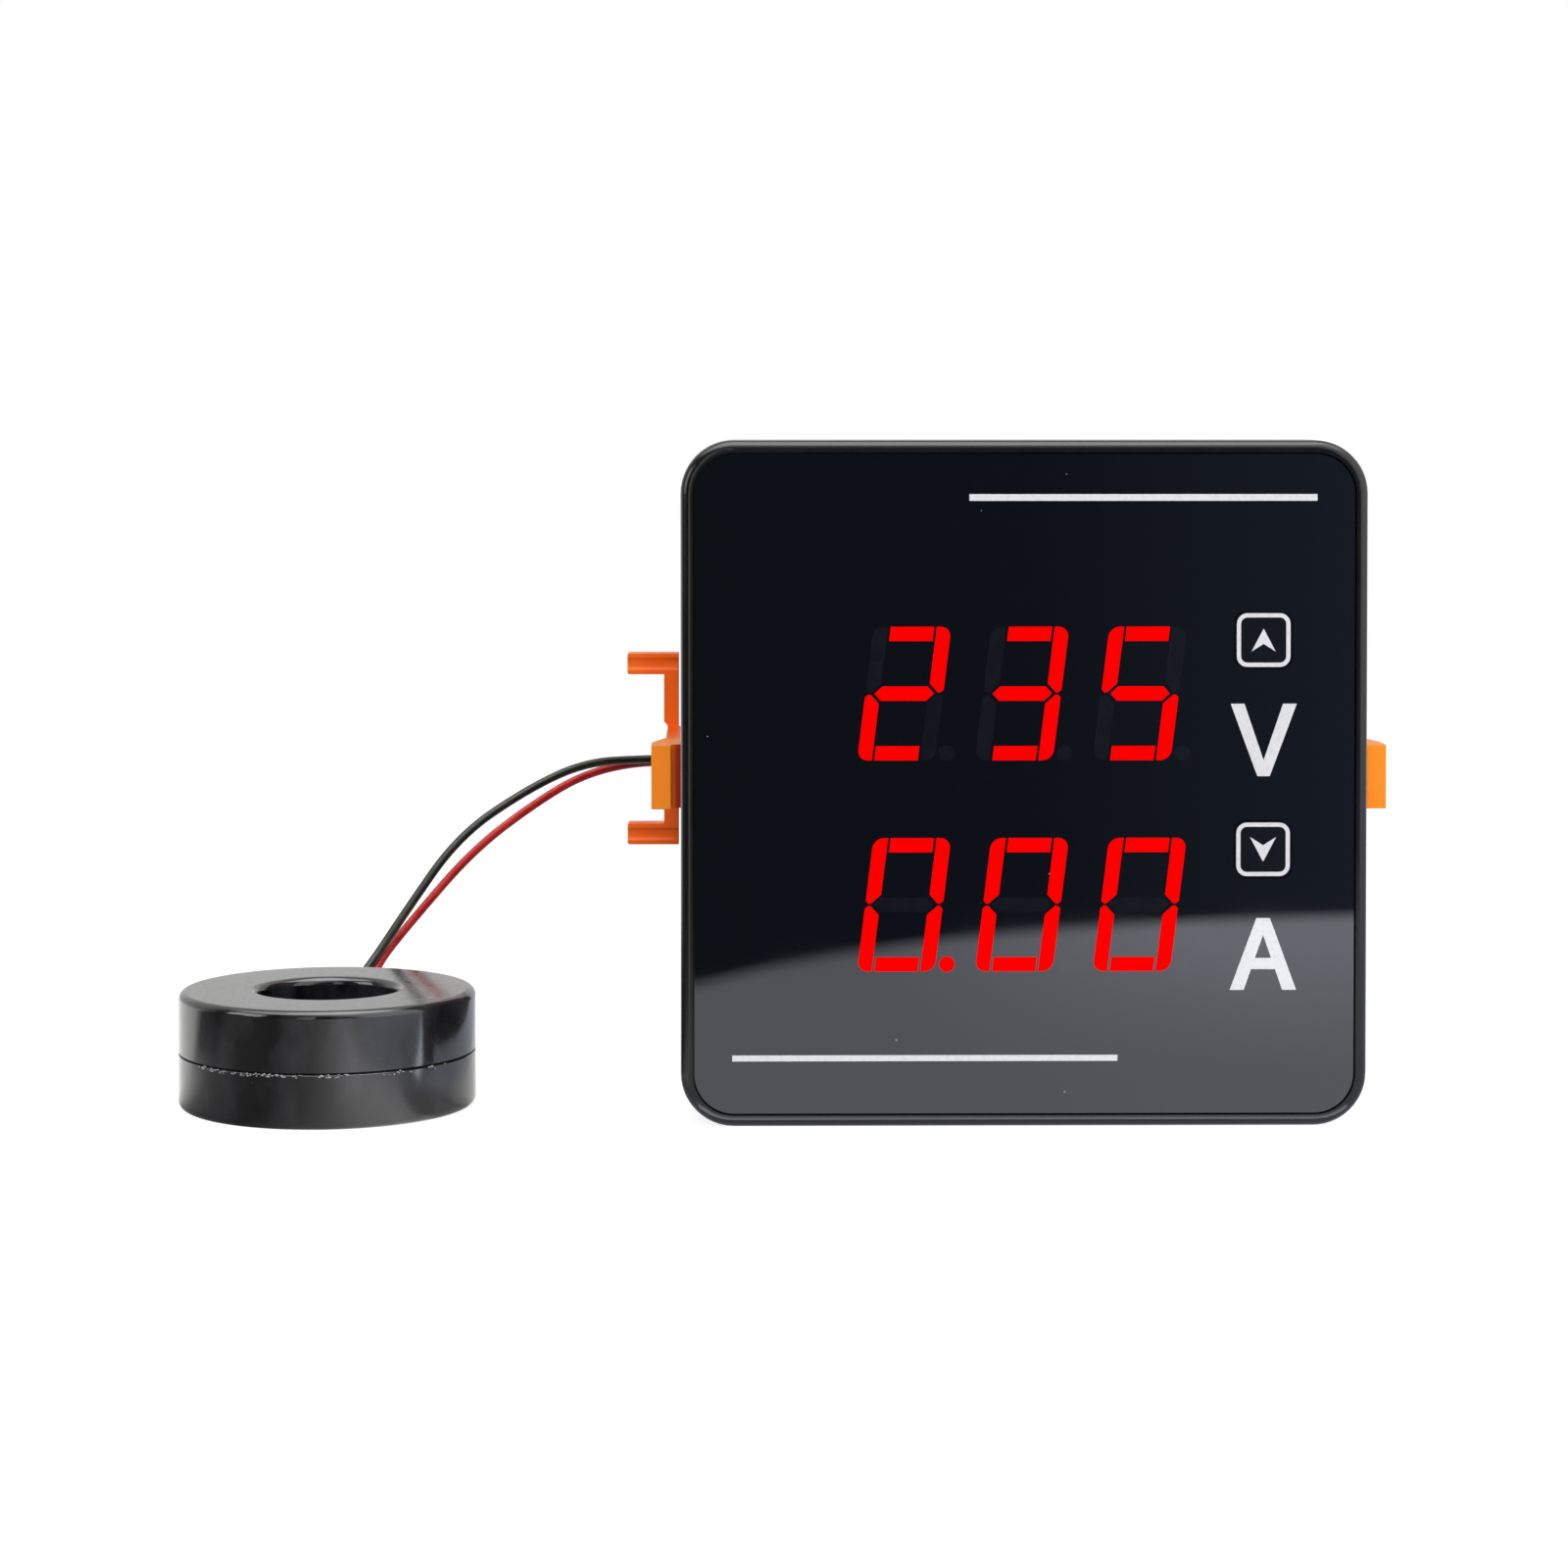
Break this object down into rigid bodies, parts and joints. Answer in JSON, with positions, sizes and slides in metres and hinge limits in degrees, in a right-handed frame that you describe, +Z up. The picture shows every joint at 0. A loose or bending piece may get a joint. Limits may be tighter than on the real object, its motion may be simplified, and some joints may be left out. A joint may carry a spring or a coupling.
{
  "type": "digital panel voltmeter",
  "caption": "Square digital panel voltmeter and ammeter with red digits, keys, sliding panel clamps, rear screw terminals and a ring current transformer on two leads.",
  "frame": {"origin": "centre of the panel cut-out, in the plane of the front frame's rear face, which is the panel's front face", "axes": "+X to the reader's right, +Y from the front towards the rear, +Z up"},
  "size_m": [0.1329, 0.0697, 0.072],
  "materials": {
    "frame_black": "moulded black plastic, satin",
    "window_smoke": "smoked black plastic, high gloss",
    "mask_black": "moulded black plastic, matte",
    "key_black": "black plastic, high gloss",
    "plunger_black": "moulded plastic",
    "switch_black": "moulded plastic",
    "segment_red": "red tinted resin",
    "module_grey": "moulded dark grey plastic",
    "pin_tinned": "tinned",
    "board_green": "glass fibre board with green solder mask",
    "screw_steel": "zinc plated",
    "chip_black": "moulded resin",
    "spacer_black": "moulded plastic",
    "core_steel": "stacked steel laminations",
    "coil_wrap": "enamelled wire under yellow tape",
    "film_blue": "dipped resin",
    "can_sleeve": "sleeved aluminium can",
    "case_black": "moulded black plastic, fine texture",
    "terminal_black": "moulded black plastic",
    "plate_brass": "nickel plated brass",
    "lug_tinned": "tinned",
    "clamp_orange": "moulded orange plastic, satin",
    "ring_black": "moulded black plastic, high gloss",
    "ring_core": "wound magnetic strip",
    "winding_copper": "enamelled copper wire",
    "lead_black": "soft black wire jacket",
    "lead_red": "soft red wire jacket"
  },
  "bodies": {
    "meter": {"front_frame": "frame_black", "front_window": "window_smoke", "inner_mask": "mask_black", "switch_bodies": "switch_black", "volts_segments": "segment_red", "amps_segments": "segment_red", "volts_display_housing": "module_grey", "amps_display_housing": "module_grey", "display_pins": "pin_tinned", "display_board": "board_green", "display_screws": "screw_steel", "controller_chip": "chip_black", "link_spacers": "spacer_black", "link_pins": "pin_tinned", "main_board": "board_green", "transformer_core": "core_steel", "transformer_coil": "coil_wrap", "film_capacitor": "film_blue", "electrolytic_capacitors": "can_sleeve", "case_shell": "case_black", "rear_cover": "case_black", "cover_screws": "screw_steel", "terminal_block": "terminal_black", "terminal_plates": "plate_brass", "terminal_washers": "screw_steel", "terminal_screws": "screw_steel", "lead_lugs": "lug_tinned", "ring_lower_shell": "ring_black", "ring_upper_shell": "ring_black", "ring_core": "ring_core", "ring_winding": "winding_copper", "lead_black": "lead_black", "lead_red": "lead_red"},
    "clamp_left": {"clamp_left": "clamp_orange"},
    "clamp_right": {"clamp_right": "clamp_orange"},
    "key_up": {"key_cap_up": "key_black", "switch_plunger_up": "plunger_black"},
    "key_down": {"key_cap_down": "key_black", "switch_plunger_down": "plunger_black"}
  },
  "joints": [
    {"name": "clamp_left_slide", "type": "slide", "parent": "meter", "child": "clamp_left", "axis": [0, 1, 0], "range_m": [0, 0.014]},
    {"name": "clamp_right_slide", "type": "slide", "parent": "meter", "child": "clamp_right", "axis": [0, 1, 0], "range_m": [0, 0.014]},
    {"name": "key_up_press", "type": "slide", "parent": "meter", "child": "key_up", "axis": [0, 1, 0], "range_m": [0, 0.00035], "stiffness_N_per_m": 500, "springref_m": -0.0004},
    {"name": "key_down_press", "type": "slide", "parent": "meter", "child": "key_down", "axis": [0, 1, 0], "range_m": [0, 0.00035], "stiffness_N_per_m": 500, "springref_m": -0.0004}
  ]
}
